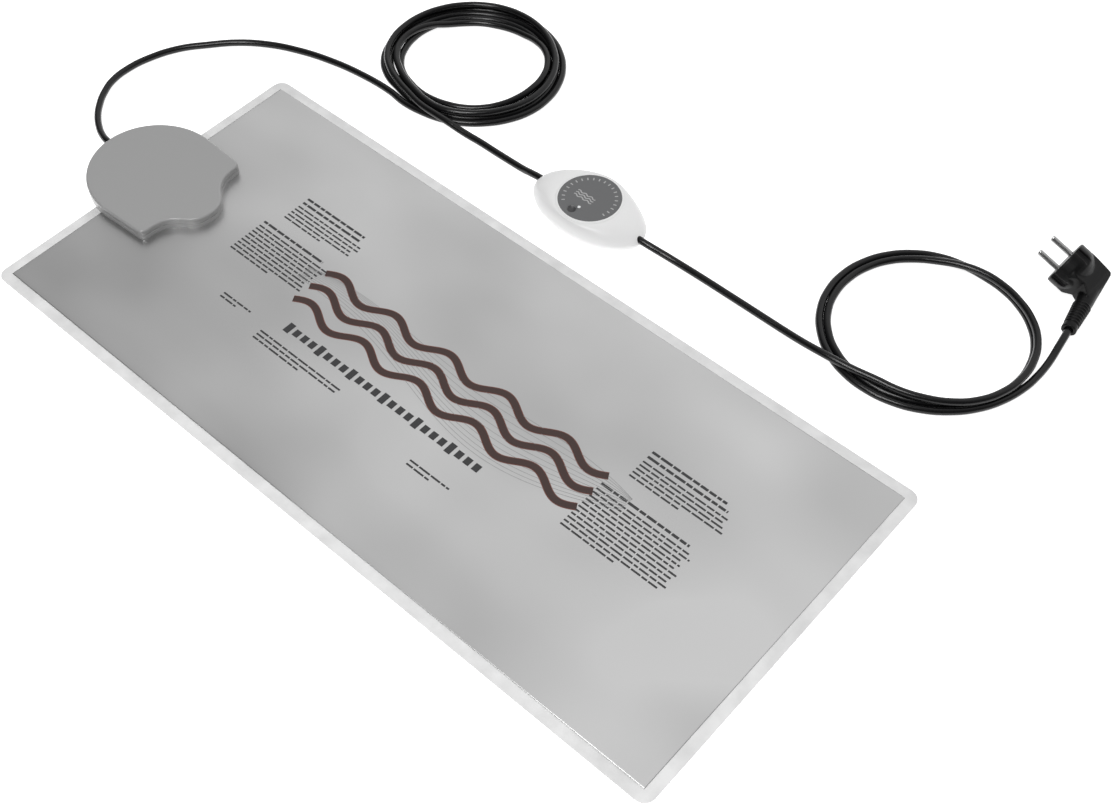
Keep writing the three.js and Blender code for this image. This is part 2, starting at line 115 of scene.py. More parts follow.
# Marks on the dial
MARK_LIFT = 0.00003
TICK_COUNT = 20
FIRST_TICK = 225
TICK_SWEEP = 244
TICK_INNER_RADIUS = 0.0199
TICK_OUTER_RADIUS = 0.0225
MARK_WIDTH = 0.001
MARK_ROWS = 3
MARK_PLACE = Vector((-0.013, 0.001))
MARK_LENGTH = 0.018
MARK_PITCH = 0.0026
MARK_SWING = 0.0007
MARK_HALF_WAVES = 6
MARK_STEPS = 32

# Plug
PLUG_PLACE = (0.296, 0.3879, 0.0204)
PLUG_TILT = math.radians(19)
RELIEF_DEPTH = 0.0287
RELIEF_LEAN = math.radians(9.2)
RELIEF_ROOT_RADIUS = 0.0069
RELIEF_TIP_RADIUS = 0.0055
RELIEF_LENGTH = 0.048
RELIEF_ROOT_PLACE = 0.0165
RELIEF_TIP_COLLAR = 0.0045
RIB_COUNT = 8
FIRST_RIB = 0.0225
RIB_PITCH = 0.0027
RIB_SIDES = 40
RIB_PROFILE = [
    (-0.0008, -0.0009), (0.0003, -0.0006), (0.00055, 0), (0.0003, 0.0006), (-0.0008, 0.0009),
]
PLUG_GRID = 0.0005
PLUG_SOFTENING = 0.5
PLUG_SOFTENING_ROUNDS = 6
PIN_EDGE_ANGLE = 50


def set_camera():
    camera = bpy.data.objects.new("photo_camera", bpy.data.cameras.new("photo_camera"))
    bpy.context.collection.objects.link(camera)
    axes = Matrix((CAMERA_RIGHT, CAMERA_UP, CAMERA_BACK)).transposed()
    camera.matrix_world = Matrix.Translation(CAMERA_PLACE) @ axes.to_4x4()
    camera.data.lens = CAMERA_LENS
    camera.data.sensor_width = SENSOR_WIDTH
    camera.data.sensor_fit = "HORIZONTAL"
    camera.data.clip_start = CLIP_START
    camera.data.clip_end = CLIP_END
    bpy.context.scene.camera = camera


# Materials
NOISE_LOW = 0.3
NOISE_HIGH = 0.7
FLAT_COLOR_ROUGHNESS = 0.45
SPECKLE_DARKEST = 0.75


def new_material(name, color, roughness, metallic=0.0, coat=0.0, coat_roughness=0.1, specular=0.5):
    material = bpy.data.materials.new(name)
    material.use_nodes = True
    shader = material.node_tree.nodes["Principled BSDF"]
    shader.inputs["Base Color"].default_value = (*color, 1)
    shader.inputs["Roughness"].default_value = roughness
    shader.inputs["Metallic"].default_value = metallic
    shader.inputs["Coat Weight"].default_value = coat
    shader.inputs["Coat Roughness"].default_value = coat_roughness
    shader.inputs["Specular IOR Level"].default_value = specular
    return material


def add_noise(material, scale, detail=4.0, stretch=(1, 1, 1)):
    """Noise over the object's own coordinates, in cells per metre."""
    tree = material.node_tree
    place = tree.nodes.new("ShaderNodeTexCoord")
    mapping = tree.nodes.new("ShaderNodeMapping")
    mapping.inputs["Scale"].default_value = stretch
    texture = tree.nodes.new("ShaderNodeTexNoise")
    texture.inputs["Scale"].default_value = scale
    texture.inputs["Detail"].default_value = detail
    tree.links.new(place.outputs["Object"], mapping.inputs["Vector"])
    tree.links.new(mapping.outputs["Vector"], texture.inputs["Vector"])
    return texture


def vary_color(material, texture, low, high, from_min=NOISE_LOW, from_max=NOISE_HIGH):
    tree = material.node_tree
    ramp = tree.nodes.new("ShaderNodeValToRGB")
    ramp.color_ramp.elements[0].position = from_min
    ramp.color_ramp.elements[0].color = (*low, 1)
    ramp.color_ramp.elements[1].position = from_max
    ramp.color_ramp.elements[1].color = (*high, 1)
    tree.links.new(texture.outputs["Fac"], ramp.inputs["Fac"])
    tree.links.new(ramp.outputs["Color"], tree.nodes["Principled BSDF"].inputs["Base Color"])


def vary_roughness(material, texture, low, high):
    tree = material.node_tree
    spread = tree.nodes.new("ShaderNodeMapRange")
    spread.inputs["From Min"].default_value = NOISE_LOW
    spread.inputs["From Max"].default_value = NOISE_HIGH
    spread.inputs["To Min"].default_value = low
    spread.inputs["To Max"].default_value = high
    tree.links.new(texture.outputs["Fac"], spread.inputs["Value"])
    tree.links.new(spread.outputs["Result"], tree.nodes["Principled BSDF"].inputs["Roughness"])


def add_bump(material, *layers):
    """Bumps one after another, each a (texture, strength, distance)."""
    tree = material.node_tree
    normal = None
    for texture, strength, distance in layers:
        bump = tree.nodes.new("ShaderNodeBump")
        bump.inputs["Strength"].default_value = strength
        bump.inputs["Distance"].default_value = distance
        tree.links.new(texture.outputs["Fac"], bump.inputs["Height"])
        if normal:
            tree.links.new(normal, bump.inputs["Normal"])
        normal = bump.outputs["Normal"]
    tree.links.new(normal, tree.nodes["Principled BSDF"].inputs["Normal"])


def cord_material():
    material = new_material("black_cord_jacket", (0.005, 0.005, 0.0055), 0.24, specular=0.35)
    grain = add_noise(material, 900)
    vary_roughness(material, grain, 0.2, 0.28)
    add_bump(material, (grain, 0.08, 0.0002))
    return material


def foil_material():
    material = new_material("silver_foil_satin", (0.6, 0.6, 0.6), 0.36, metallic=1.0)
    grain = add_noise(material, 1100, 5.0)
    soft = add_noise(material, 5, 1.5, (1, 1.4, 1))
    vary_color(material, soft, (0.51, 0.51, 0.51), (0.67, 0.67, 0.67), 0.35, 0.65)
    vary_roughness(material, soft, 0.34, 0.42)
    add_bump(material, (grain, 0.25, 0.0001), (soft, 1.0, 0.0045))
    return material


def film_material():
    material = new_material("frosted_film", (0.78, 0.78, 0.78), 0.4, coat=0.4, coat_roughness=0.25)
    cloud = add_noise(material, 60, 5.0)
    vary_color(material, cloud, (0.7, 0.7, 0.7), (0.84, 0.84, 0.84))
    add_bump(material, (cloud, 0.3, 0.0006))
    return material


def grey_plastic_material():
    material = new_material("grey_satin_plastic", (0.33, 0.33, 0.33), 0.34, coat=0.45, coat_roughness=0.12)
    grain = add_noise(material, 1500, 3.0)
    vary_roughness(material, grain, 0.3, 0.36)
    add_bump(material, (grain, 0.03, 0.0001))
    return material


def white_plastic_material():
    material = new_material("white_gloss_plastic", (0.86, 0.86, 0.86), 0.38, coat=0.12, coat_roughness=0.12)
    ripple = add_noise(material, 120, 2.0)
    vary_roughness(material, ripple, 0.36, 0.46)
    add_bump(material, (ripple, 0.03, 0.0005))
    return material


def dial_material():
    material = new_material("dark_grey_dial", (0.13, 0.132, 0.135), 0.4)
    grain = add_noise(material, 2000, 3.0)
    vary_roughness(material, grain, 0.34, 0.44)
    add_bump(material, (grain, 0.1, 0.0001))
    return material


# Flat speckled colour, used for the print and for the painted shade in the finger dimple
def print_and_painted_shade_material(name, color):
    material = new_material(name, color, FLAT_COLOR_ROUGHNESS)
    speckle = add_noise(material, 2500, 2.0)
    darker = tuple(channel * SPECKLE_DARKEST for channel in color)
    vary_color(material, speckle, darker, color)
    return material


def plug_material():
    material = new_material("black_moulded_plug", (0.003, 0.003, 0.0033), 0.38, specular=0.22)
    grain = add_noise(material, 1800, 4.0)
    vary_roughness(material, grain, 0.36, 0.46)
    add_bump(material, (grain, 0.15, 0.0001))
    return material


def nickel_material():
    material = new_material("nickel_pins", (0.42, 0.42, 0.42), 0.22, metallic=1.0)
    brushed = add_noise(material, 500, 4.0, (0.15, 1, 1))
    vary_roughness(material, brushed, 0.18, 0.28)
    add_bump(material, (brushed, 0.02, 0.0001))
    return material


def lens_material():
    material = new_material("clear_light_window", (0.85, 0.87, 0.87), 0.12, coat=1.0, coat_roughness=0.03)
    cloud = add_noise(material, 900, 2.0)
    vary_roughness(material, cloud, 0.1, 0.16)
    return material


CORD_JACKET = cord_material()
FOIL = foil_material()
FILM = film_material()
GREY_PLASTIC = grey_plastic_material()
WHITE_PLASTIC = white_plastic_material()
DIAL_PLASTIC = dial_material()
# Darker colour for the middle of the finger dimple: painted shade in the hollow
DIMPLE_PAINTED_SHADE = print_and_painted_shade_material("dimple_painted_shade", (0.065, 0.065, 0.067))
PLUG_BLACK = plug_material()
NICKEL = nickel_material()
LENS = lens_material()
BROWN_PRINT = print_and_painted_shade_material("brown_print", (0.05, 0.022, 0.018))
DARK_PRINT = print_and_painted_shade_material("dark_print", (0.035, 0.035, 0.037))
LIGHT_PRINT = print_and_painted_shade_material("light_print", (0.5, 0.5, 0.5))
RED_PRINT = print_and_painted_shade_material("red_brown_print", (0.2, 0.07, 0.05))
GREY_PRINT = print_and_painted_shade_material("grey_print", (0.3, 0.3, 0.3))


# Making and placing pieces
def mesh_object(name, vertices, faces, smooth=True):
    mesh = bpy.data.meshes.new(name)
    mesh.from_pydata([tuple(vertex) for vertex in vertices], [], faces)
    mesh.update()
    mesh.polygons.foreach_set("use_smooth", [smooth] * len(mesh.polygons))
    obj = bpy.data.objects.new(name, mesh)
    bpy.context.collection.objects.link(obj)
    return obj


def finish_piece(obj, material, body="heater"):
    obj.data.materials.append(material)
    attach(obj, body)
    return obj


def dress_node(name, material):
    node = nodes[name]
    for material_slot in node.material_slots:
        material_slot.link = "OBJECT"
        material_slot.material = material
    return node


def grid_faces(rows, columns, closed=False):
    faces = []
    for row in range(rows - 1):
        for column in range(columns if closed else columns - 1):
            after = (column + 1) % columns
            low = row * columns
            high = low + columns
            faces.append((low + column, low + after, high + after, high + column))
    return faces


def closed_faces(rings, sides):
    """Faces of a solid made of closed rings, ending with its bottom and top."""
    faces = grid_faces(rings, sides, closed=True)
    faces.append(tuple(reversed(range(sides))))
    last = (rings - 1) * sides
    faces.append(tuple(range(last, last + sides)))
    return faces


def lathe(profile, sides):
    """Vertices and faces of a closed turned solid, from (radius, height) points bottom to top."""
    vertices = []
    for radius, height in profile:
        for side in range(sides):
            angle = 2 * math.pi * side / sides
            vertices.append(Vector((radius * math.cos(angle), radius * math.sin(angle), height)))
    return vertices, closed_faces(len(profile), sides)


def flatten_normals(obj, flat_faces):
    """Shades the last faces of a mesh, its level ones, flat."""
    polygons = obj.data.polygons
    for index in range(len(polygons) - flat_faces, len(polygons)):
        polygons[index].use_smooth = False


# Cords
HOUSING_LEAD = [
    (-0.3673, 0, 0.0056), (-0.381, 0.0002, 0.0052), (-0.391, 0.0028, 0.0039), (-0.3995, 0.0065, 0.0032),
    (-0.412, 0.0145, CORD_HEIGHT), (-0.423, 0.025, CORD_HEIGHT), (-0.432, 0.037, CORD_HEIGHT),
    (-0.439, 0.052, CORD_HEIGHT), (-0.441, 0.071, CORD_HEIGHT), (-0.438, 0.091, CORD_HEIGHT),
    (-0.428, 0.116, CORD_HEIGHT), (-0.412, 0.137, CORD_HEIGHT), (-0.394, 0.1565, CORD_HEIGHT),
    (-0.3715, 0.1725, CORD_HEIGHT), (-0.345, 0.1845, CORD_HEIGHT), (-0.316, 0.193, CORD_HEIGHT),
    (-0.283, 0.1985, CORD_HEIGHT),
]
CONTROL_LEAD = [
    (-0.178, 0.2009, 0.0083), (-0.167, 0.2019, 0.0062), (-0.156, 0.2032, 0.0044),
    (-0.145, 0.2044, 0.0034), (-0.125, 0.2045, 0.0031), (-0.106, 0.2045, 0.0032),
    (-0.094, 0.2039, 0.0043), (-0.0845, 0.2026, 0.0071), (-0.0745, 0.2021, 0.0088),
    (-0.0668, 0.2021, 0.0088),
]
MAINS_LEAD = [
    (0.0248, 0.2021, 0.0088), (0.0325, 0.2021, 0.0088), (0.0425, 0.2034, 0.0073), (0.054, 0.2056, 0.0048),
    (0.066, 0.2069, 0.0033), (0.088, 0.2072, CORD_HEIGHT), (0.118, 0.2069, CORD_HEIGHT),
    (0.147, 0.2065, CORD_HEIGHT), (0.168, 0.2062, CORD_HEIGHT), (0.181, 0.2053, 0.0043),
    (0.193, 0.2039, 0.0066), (0.2045, 0.203, 0.0087),
]
PLUG_LEAD = [
    (0.3334, 0.279, CORD_HEIGHT), (0.3345, 0.291, CORD_HEIGHT), (0.3346, 0.302, 0.0032),
    (0.3339, 0.313, 0.0042), (0.3326, 0.324, 0.0064), (0.3313, 0.3346, 0.0082),
    (0.3304, 0.3405, 0.0086), (0.3292, 0.3481, 0.009),
]

# Turns of the first coil: degrees counted on from turn to turn, radius and height in millimetres
FIRST_COIL_CENTRE = Vector((-0.216, 0.271))
FIRST_COIL_TURNS = [
    [(247, 77.3), (270, 72.9), (290, 72.6), (320, 75.3), (345, 78.8), (360, 80), (390, 79.7), (420, 77.4),
     (470, 73.9), (500, 75), (530, 77.6), (560, 79.2), (583, 77)],
    [(606, 69.3), (630, 67.2), (650, 66.6), (680, 69.1), (705, 72.7), (720, 74), (750, 73.7), (780, 71.4),
     (830, 67.9), (860, 69), (890, 71.6), (920, 73.2), (943, 71)],
    [(966, 63.3), (990, 61.2), (1010, 60.6), (1040, 62.9), (1065, 66.4), (1080, 67.9), (1110, 67.6),
     (1140, 65.4), (1190, 61.9), (1220, 62.3), (1250, 64.3), (1280, 64), (1303, 62)],
    [(1326, 57.3), (1350, 55.2), (1370, 54.6), (1400, 57, 3.4), (1425, 61, 5.5), (1440, 63.8, 7.6),
     (1455, 66, 9), (1470, 66.5, 9.05), (1485, 65.5, 9.05), (1500, 62.5, 8), (1520, 58.2, 5), (1550, 55.9),
     (1573, 56.3), (1590, 57.3, 3.3), (1605, 59.5, 7), (1620, 63.8, 9.05), (1640, 68.2, 8.2),
     (1660, 65.5, 8.8)],
    [(1672, 63, 9), (1688, 61, 8.7), (1704, 61.5, 9.05), (1719, 64.5, 9.05), (1730, 66.8, 9.05),
     (1760, 69.5, 9.05), (1785, 72.3, 9.05), (1800, 73.7, 9.05), (1830, 73.4, 9.05), (1860, 71.6, 9.05),
     (1910, 72.7, 9.05), (1940, 74, 9.05), (1970, 75.8, 9), (2000, 76.3, 8.8), (2020, 73.8, 9.05),
     (2032, 70.8, 9.05), (2048, 67.7, 9.05), (2064, 67.7, 9.05), (2079, 71.6, 9.05), (2090, 75.2, 9.05)],
]

# Turns of the second, loose coil
SECOND_COIL_CENTRE = Vector((0.2505, 0.2795))
SECOND_COIL_TURNS = [
    [(254, 77.6, 9.05), (262.5, 72.4, 9.05), (282, 70.7, 9.05), (300, 71.6, 9.05), (330, 76, 9.05),
     (360, 78, 9.05), (390, 77.5, 9.05), (420, 72.2, 9.05), (450, 68.3, 8.8), (480, 67, 6), (510, 72, 3.4),
     (540, 75.2), (570, 76.8), (600, 75.7)],
    [(630, 73), (650, 71.8), (670, 71), (690, 72.8), (720, 76), (750, 76.5), (780, 73.3), (810, 71),
     (830, 73.2), (840, 74.6), (870, 78.2), (900, 81.2), (930, 82.8), (960, 81.7)],
    [(990, 79), (1010, 77.8), (1030, 77.5), (1050, 78.6), (1063, 80)],
]


def smooth_value(keys, angle, column):
    """Value of one column of keys at an angle, on a smooth curve through them."""
    last = len(keys) - 1
    index = 0
    while index < last - 1 and keys[index + 1][0] <= angle:
        index += 1
    start = keys[index]
    end = keys[index + 1]
    before = keys[max(index - 1, 0)]
    after = keys[min(index + 2, last)]
    span = end[0] - start[0]
    start_slope = (end[column] - before[column]) / (end[0] - before[0])
    end_slope = (after[column] - start[column]) / (after[0] - start[0])
    share = (angle - start[0]) / span
    return (
        (2 * share**3 - 3 * share**2 + 1) * start[column]
        + (share**3 - 2 * share**2 + share) * span * start_slope
        + (3 * share**2 - 2 * share**3) * end[column]
        + (share**3 - share**2) * span * end_slope
    )


def coil_points(centre, turns):
    """Points along a coil, one for every few degrees of its turns."""
    keys = []
    for turn in turns:
        for key in turn:
            height = key[2] / MILLIMETRES_IN_METRE if len(key) > 2 else CORD_HEIGHT
            keys.append((key[0], key[1] / MILLIMETRES_IN_METRE, height))
    steps = round((keys[-1][0] - keys[0][0]) / COIL_STEP)
    points = []
    for step in range(steps + 1):
        angle = keys[0][0] + (keys[-1][0] - keys[0][0]) * step / steps
        radius = smooth_value(keys, angle, 1)
        height = smooth_value(keys, angle, 2)
        x = centre.x + radius * math.cos(math.radians(angle))
        y = centre.y + radius * math.sin(math.radians(angle))
        points.append((x, y, max(height, CORD_HEIGHT)))
    return points


def cord_curve(name, points):
    """A round cord on one smooth spline through the points."""
    curve = bpy.data.curves.new(name, "CURVE")
    curve.dimensions = "3D"
    curve.resolution_u = CORD_SMOOTHNESS
    curve.bevel_depth = CORD_RADIUS
    curve.bevel_resolution = CORD_SMOOTHNESS
    curve.use_fill_caps = True
    spline = curve.splines.new("BEZIER")
    spline.bezier_points.add(len(points) - 1)
    for point, place in zip(spline.bezier_points, points):
        point.co = place
        point.handle_left_type = "AUTO"
        point.handle_right_type = "AUTO"
    obj = bpy.data.objects.new(name, curve)
    bpy.context.collection.objects.link(obj)
    return obj


def make_cords():
    first_route = HOUSING_LEAD + coil_points(FIRST_COIL_CENTRE, FIRST_COIL_TURNS) + CONTROL_LEAD
    second_route = MAINS_LEAD + coil_points(SECOND_COIL_CENTRE, SECOND_COIL_TURNS) + PLUG_LEAD
    heater_cord = finish_piece(cord_curve("heater_cord", first_route), CORD_JACKET)
    mains_cord = finish_piece(cord_curve("mains_cord", second_route), CORD_JACKET)
    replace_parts(heater_cord, "housing_lead", "heater_cord_coil", "control_lead")
    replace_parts(mains_cord, "mains_lead", "mains_cord_loop", "plug_lead")
    return heater_cord, mains_cord


# Pad
PANEL_SWELL = 0.0004
PANEL_STEP = 0.004
PANEL_EDGE = 0.0012
PANEL_EDGE_DROP = 0.0001
PANEL_SETTLE = 0.02

# Waves in the foil: cells per metre along and across, depth in the noise, and weight
PANEL_WAVES = [(7, 11, 0.3, 0.6), (19, 23, 1.7, 0.3)]


def panel_height(x, y, low, high):
    """Height of the foil's surface, which lies slightly uneven and falls off at its edges."""
    wave = 0
    for along, across, depth, weight in PANEL_WAVES:
        wave += noise.noise(Vector((x * along, y * across, depth))) * weight
    inward = min(x - low.x, high.x - x, y - low.y, high.y - y)
    edge = min(max(inward / PANEL_EDGE, 0), 1)
    settle = min(max(inward / PANEL_SETTLE, 0), 1)
    rise = PANEL_SWELL * (0.5 + wave) * settle
    return high.z - PANEL_EDGE_DROP * (1 - edge) ** 2 + rise


def spaced(low, high, step, edge):
    """Places from low to high, closer together near both ends."""
    count = round((high - low - 2 * edge) / step)
    inner = [low + edge + (high - low - 2 * edge) * index / count for index in range(count + 1)]
    return [low, low + edge / 2, *inner, high - edge / 2, high]


def make_pad():
    """Dresses the film and lays the foil on it, its thin sides in film."""
    dress_node("carrier_film", FILM)
    low, high = (Vector(corner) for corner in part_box("heating_panel"))
    columns = spaced(low.x, high.x, PANEL_STEP, PANEL_EDGE)
    rows = spaced(low.y, high.y, PANEL_STEP, PANEL_EDGE)
    vertices = [Vector((x, y, panel_height(x, y, low, high))) for y in rows for x in columns]
    faces = grid_faces(len(rows), len(columns))
    top_count = len(vertices)
    width = len(columns)
    depth = len(rows)
    border = list(range(width))
    border += [row * width + width - 1 for row in range(1, depth)]
    border += [(depth - 1) * width + column for column in range(width - 2, -1, -1)]
    border += [row * width for row in range(depth - 2, 0, -1)]
    for index in border:
        vertices.append(Vector((vertices[index].x, vertices[index].y, low.z)))
    for step, index in enumerate(border):
        after = (step + 1) % len(border)
        faces.append((border[after], index, top_count + step, top_count + after))
    faces.append(tuple(top_count + step for step in reversed(range(len(border)))))
    foil = finish_piece(mesh_object("foil_sheet", vertices, faces), FOIL)
    flatten_normals(foil, len(border) + 1)
    foil.data.materials.append(FILM)
    for polygon in foil.data.polygons[-len(border) - 1:]:
        polygon.material_index = 1
    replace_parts(foil, "heating_panel")
    make_print(low, high)


# Print on the foil: waves with an edge, fine lines, bars and rows of dashes
PRINT_GAP = 0.00005
WAVE_ROWS = 3
WAVE_PLACE = Vector((-0.135, 0.02))
WAVE_LENGTH = 0.29
WAVE_STEPS = 160
WAVE_PITCH = 0.017
WAVE_WIDTH = 0.0052
WAVE_EDGE = 0.0012
WAVE_SWING = 0.0055
WAVE_SPAN = 0.058
FINE_LINES = 12
FINE_STEPS = 120
FINE_PLACE = Vector((-0.15, 0.004))
FINE_LENGTH = 0.33
FINE_SPREAD = 0.05
FINE_SWAY = 0.012
FINE_TWIST = 1.5
FINE_WIDTH = 0.0003
BAR_COUNT = 24
BAR_PLACE = Vector((-0.118, -0.036))
BAR_PITCH = 0.0085
BAR_LENGTH = 0.0055
BAR_WIDTH = 0.0065
WIDE_BAR_WIDTH = 0.0095
WIDE_BAR_EVERY = 4
DASH_PITCH = 0.0038
DASH_WIDTH = 0.0015
DASH_SHORTEST = 0.0035
DASH_SPREAD = 0.007
DASH_SPACE = 0.0011
HEAD_PITCH = 0.0052
HEAD_WIDTH = 0.0022
HEAD_SHARE = 0.9
ROW_SHARE = 0.96
LAST_ROW_SHARE = 0.55
HEAD_SEED = 7.5
ROW_SEED = 0.5
END_SEED = 3.5

# Blocks of dashes: corner, length, rows and bold rows above them
DASH_BLOCKS = [
    ((-0.205, 0.066), 0.075, 5, 2),
    ((-0.213, 0.026), 0.078, 9, 1),
    ((0.165, 0.056), 0.08, 5, 2),
    ((0.155, 0.012), 0.088, 11, 1),
    ((-0.13, -0.052), 0.09, 3, 0),
    ((-0.18, -0.045), 0.032, 2, 0),
    ((0.04, -0.062), 0.04, 2, 0),
]


def strip(vertices, faces, path, width, surface):
    """A flat printed stroke of one width along a path, at the surface's height."""
    start = len(vertices)
    for index, point in enumerate(path):
        before = path[max(index - 1, 0)]
        after = path[min(index + 1, len(path) - 1)]
        along = (Vector(after) - Vector(before)).normalized()
        across = Vector((-along.y, along.x)) * width / 2
        for side in (-1, 1):
            place = Vector(point) + across * side
            vertices.append(Vector((place.x, place.y, surface(place.x, place.y))))
    for index in range(len(path) - 1):
        low = start + 2 * index
        faces.append((low, low + 2, low + 3, low + 1))


def dash_rows(vertices, faces, corner, length, rows, pitch, width, seed, surface):
    """Rows of short dashes of uneven length, from a corner down the pad."""
    for row in range(rows):
        y = corner[1] - row * pitch
        x = corner[0]
        end_share = ROW_SHARE + (1 - ROW_SHARE) * noise.cell(Vector((seed, row, END_SEED)))
        if row == rows - 1 and rows > 1:
            end_share = LAST_ROW_SHARE
        end = corner[0] + length * end_share
        place = 0
        while x < end:
            dash = DASH_SHORTEST + DASH_SPREAD * abs(noise.cell(Vector((seed, row, place))))
            dash = min(dash, end - x)
            strip(vertices, faces, [(x, y), (x + dash, y)], width, surface)
            x += dash + DASH_SPACE
            place += 1


def wave_path(base):
    path = []
    for step in range(WAVE_STEPS + 1):
        along = WAVE_LENGTH * step / WAVE_STEPS
        path.append((WAVE_PLACE.x + along, base + WAVE_SWING * math.sin(2 * math.pi * along / WAVE_SPAN)))
    return path


def fine_path(share):
    """One of the fine lines that spread from each other towards the middle."""
    path = []
    for step in range(FINE_STEPS + 1):
        along = step / FINE_STEPS
        y = FINE_PLACE.y + FINE_SPREAD * math.sin(math.pi * along) * (share - 0.5)
        y += FINE_SWAY * math.sin(2 * math.pi * along + FINE_TWIST * share)
        path.append((FINE_PLACE.x + FINE_LENGTH * along, y))
    return path


def make_print(low, high):
    def surface(x, y):
        return panel_height(x, y, low, high) + PRINT_GAP

    edges = ([], [])
    waves = ([], [])
    for row in range(WAVE_ROWS):
        path = wave_path(WAVE_PLACE.y - row * WAVE_PITCH)
        strip(*edges, path, WAVE_WIDTH + WAVE_EDGE, surface)
        strip(*waves, path, WAVE_WIDTH, lambda x, y: surface(x, y) + PRINT_GAP)
    finish_piece(mesh_object("print_wave_edges", *edges, smooth=False), RED_PRINT)
    finish_piece(mesh_object("print_waves", *waves, smooth=False), BROWN_PRINT)

    fine = ([], [])
    for line in range(FINE_LINES):
        strip(*fine, fine_path(line / (FINE_LINES - 1)), FINE_WIDTH, surface)
    finish_piece(mesh_object("print_fine_lines", *fine, smooth=False), GREY_PRINT)

    bars = ([], [])
    for bar in range(BAR_COUNT):
        start = BAR_PLACE + Vector((bar * BAR_PITCH, 0))
        width = BAR_WIDTH if bar % WIDE_BAR_EVERY else WIDE_BAR_WIDTH
        strip(*bars, [start, start + Vector((BAR_LENGTH, 0))], width, surface)
    finish_piece(mesh_object("print_bars", *bars, smooth=False), DARK_PRINT)

    dashes = ([], [])
    for seed, (corner, length, rows, heads) in enumerate(DASH_BLOCKS):
        top = corner[1]
        for head in range(heads):
            bold_length = length * HEAD_SHARE
            bold_seed = seed + HEAD_SEED + head
            dash_rows(*dashes, (corner[0], top), bold_length, 1, 0, HEAD_WIDTH, bold_seed, surface)
            top -= HEAD_PITCH
        row_seed = seed + ROW_SEED
        dash_rows(*dashes, (corner[0], top), length, rows, DASH_PITCH, DASH_WIDTH, row_seed, surface)
    finish_piece(mesh_object("print_dashes", *dashes, smooth=False), DARK_PRINT)


# Housing
def bezier(start, pull, hold, end, steps):
    """Points of a curve drawn from its start by two handles, without its first one."""
    points = []
    for step in range(1, steps + 1):
        share = step / steps
        rest = 1 - share
        points.append(
            start * rest**3 + pull * (3 * share * rest**2) + hold * (3 * share**2 * rest) + end * share**3
        )
    return points


def arc(centre, across, along, start, end, steps):
    """Points of an arc in degrees, without its first one."""
    points = []
    for step in range(1, steps + 1):
        angle = math.radians(start + (end - start) * step / steps)
        points.append(centre + Vector((across * math.cos(angle), along * math.sin(angle))))
    return points


def housing_outline():
    """Counterclockwise outline: lobe, hollow, tip, side and the half-ellipse back, then mirrored."""
    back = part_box("housing_cover")[0][0]
    lobe = back + HOUSING_LENGTH
    tip = lobe - HOUSING_TIP_SETBACK
    tip_y = HOUSING_WIDTH / 2 - HOUSING_TIP_FLAT
    half = bezier(
        Vector((lobe, 0)), Vector((lobe, HOUSING_LOBE_PULL)),
        Vector((tip, HOUSING_HOLLOW_PULL)), Vector((tip, tip_y)), HOLLOW_STEPS,
    )
    corner = HOUSING_CORNER_RADIUS
    half += arc(Vector((tip - corner, tip_y)), corner, corner, 0, 90, CORNER_STEPS)
    middle = Vector((back + HOUSING_BACK_DEPTH, 0))
    half.append(middle + Vector((0, HOUSING_BACK_WIDTH / 2)))
    half += arc(middle, HOUSING_BACK_DEPTH, HOUSING_BACK_WIDTH / 2, 90, 180, BACK_STEPS)
    mirrored = [Vector((point.x, -point.y)) for point in reversed(half[:-1])]
    return half + mirrored + [Vector((lobe, 0))]


def inset_outline(outline, distance):
    """The outline moved inwards by a distance."""
    moved = []
    for index, point in enumerate(outline):
        before = outline[index - 1]
        after = outline[(index + 1) % len(outline)]
        first = (point - before).normalized()
        second = (after - point).normalized()
        normal = Vector((-first.y - second.y, first.x + second.x)).normalized()
        spread = normal.dot(Vector((-second.y, second.x)))
        moved.append(point + normal * distance / max(spread, 0.5))
    return moved


def rounded_levels(bottom, top, bottom_radius, top_radius):
    """Heights and insets of a shell's rings, for its rounded lower and upper edges."""
    levels = []
    for step in range(EDGE_STEPS, -1, -1):
        angle = step / EDGE_STEPS * math.pi / 2
        inset = bottom_radius * (1 - math.cos(angle))
        levels.append((bottom + bottom_radius * (1 - math.sin(angle)), inset))
    for step in range(EDGE_STEPS + 1):
        angle = step / EDGE_STEPS * math.pi / 2
        inset = top_radius * (1 - math.cos(angle))
        levels.append((top - top_radius * (1 - math.sin(angle)), inset))
    return levels


def make_shell(name, outline, levels):
    vertices = []
    for height, inset in levels:
        vertices += [Vector((*point, height)) for point in inset_outline(outline, inset)]
    faces = closed_faces(len(levels), len(outline))
    shell = finish_piece(mesh_object(name, vertices, faces), GREY_PLASTIC)
    flatten_normals(shell, 2)
    return shell


def make_housing():
    outline = housing_outline()
    shells = [
        ("housing_lower_shell", "housing_base", SHELL_EDGE, PARTING_EDGE),
        ("housing_upper_shell", "housing_cover", PARTING_EDGE, COVER_EDGE),
    ]
    for name, node, lower_edge, upper_edge in shells:
        low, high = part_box(node)
        levels = rounded_levels(low[2], high[2], lower_edge, upper_edge)
        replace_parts(make_shell(name, outline, levels), node)


# Control
def control_ring(half_length, half_width, height, shift=0.0):
    ring = []
    for side in range(CONTROL_SIDES):
        angle = 2 * math.pi * side / CONTROL_SIDES
        ring.append(Vector((shift + half_length * math.cos(angle), half_width * math.sin(angle), height)))
    return ring


